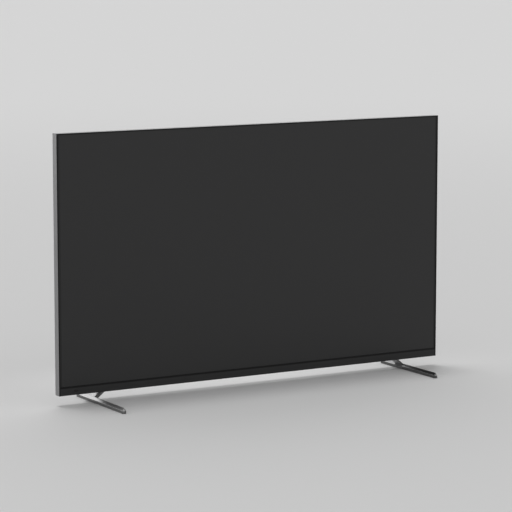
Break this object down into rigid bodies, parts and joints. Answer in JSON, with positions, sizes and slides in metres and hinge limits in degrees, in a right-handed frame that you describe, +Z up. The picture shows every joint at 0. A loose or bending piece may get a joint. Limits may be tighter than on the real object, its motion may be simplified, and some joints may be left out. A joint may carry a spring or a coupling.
{
  "type": "flat screen tv",
  "caption": "Large flat television with a dark matt screen, thin black bezel, silver edge frame and two low polished metal feet.",
  "frame": {"origin": "on the floor, midway between the feet and midway along them", "axes": "+X to the viewer's right along the screen, +Y away from the viewer towards the back, +Z up"},
  "size_m": [1.449, 0.338, 0.873],
  "materials": {
    "bezel_black": "satin black",
    "chin_charcoal": "satin charcoal",
    "frame_silver": "fine brushed, clear anodised",
    "screen_glass": "anti-glare, switched off",
    "smoked_plastic": "smoked",
    "rear_plastic": "fine moulded grain",
    "foot_metal": "dark plated, polished to a satin haze",
    "pad_rubber": "matt",
    "zinc_steel": "zinc plated",
    "dark_steel": "black zinc",
    "shell_metal": "tin plated",
    "heat_metal": "plain",
    "key_metal": "cast",
    "optic_white": "diffuse",
    "lens_clear": "clear",
    "black_plastic": "moulded",
    "board_green": "solder mask",
    "board_tan": "paper laminate",
    "flex_amber": "polyimide",
    "ribbon_white": "film",
    "cable_black": "sleeved",
    "lead_red": "insulated",
    "brass": "plain",
    "key_plastic": "soft touch",
    "nylon": "moulded"
  },
  "bodies": {
    "cabinet": {"bezel_left": "bezel_black", "bezel_right": "bezel_black", "bezel_top": "bezel_black", "bezel_band": "bezel_black", "chin_bar": "chin_charcoal", "sensor_window": "smoked_plastic", "sensor_board": "board_green", "frame_left": "frame_silver", "frame_right": "frame_silver", "frame_top": "frame_silver", "corner_keys": "key_metal", "lcd_panel": "screen_glass", "panel_flexes": "flex_amber", "source_boards": "board_green", "panel_ribbons": "ribbon_white", "film_pack": "optic_white", "diffuser_plate": "optic_white", "middle_frame": "black_plastic", "led_lenses": "lens_clear", "reflector_sheet": "optic_white", "led_strips": "board_green", "chassis_pan": "zinc_steel", "standoffs": "brass", "board_screws": "zinc_steel", "main_board": "board_green", "heat_sink": "heat_metal", "timing_board": "board_green", "power_board": "board_tan", "power_parts": "black_plastic", "wireless_module": "board_green", "supply_cable": "cable_black", "backlight_cable": "cable_black", "speaker_leads": "lead_red", "video_sockets": "shell_metal", "data_sockets": "shell_metal", "network_socket": "black_plastic", "aerial_socket": "brass", "optical_socket": "black_plastic", "mains_inlet": "black_plastic", "mains_pins": "shell_metal", "speaker_boxes": "black_plastic", "speaker_drivers": "black_plastic", "mount_bushes": "zinc_steel", "rear_panel": "rear_plastic", "rear_housing": "rear_plastic", "cover_screws": "dark_steel", "key_board": "board_green", "switch_case": "black_plastic", "stand_bracket_left": "zinc_steel", "stand_bracket_right": "zinc_steel", "foot_left": "foot_metal", "foot_right": "foot_metal", "foot_pads": "pad_rubber", "stand_screws": "dark_steel"},
    "jog_slider": {"jog_plunger": "nylon"},
    "jog_cradle": {"jog_ring": "nylon"},
    "jog_key": {"jog_stem": "key_plastic", "jog_cap": "key_plastic"}
  },
  "joints": [
    {"name": "jog_press", "type": "slide", "parent": "cabinet", "child": "jog_slider", "axis": [0, -1, 0], "range_m": [0, 0.0005], "stiffness_N_per_m": 3000},
    {"name": "jog_tilt_up_down", "type": "hinge", "parent": "jog_slider", "child": "jog_cradle", "pos_m": [-0.49, 0.079, 0.087], "axis": [1, 0, 0], "range_deg": [-7, 7], "stiffness_Nm_per_rad": 0.08},
    {"name": "jog_tilt_left_right", "type": "hinge", "parent": "jog_cradle", "child": "jog_key", "pos_m": [-0.49, 0.079, 0.087], "axis": [0, 0, 1], "range_deg": [-7, 7], "stiffness_Nm_per_rad": 0.08}
  ]
}
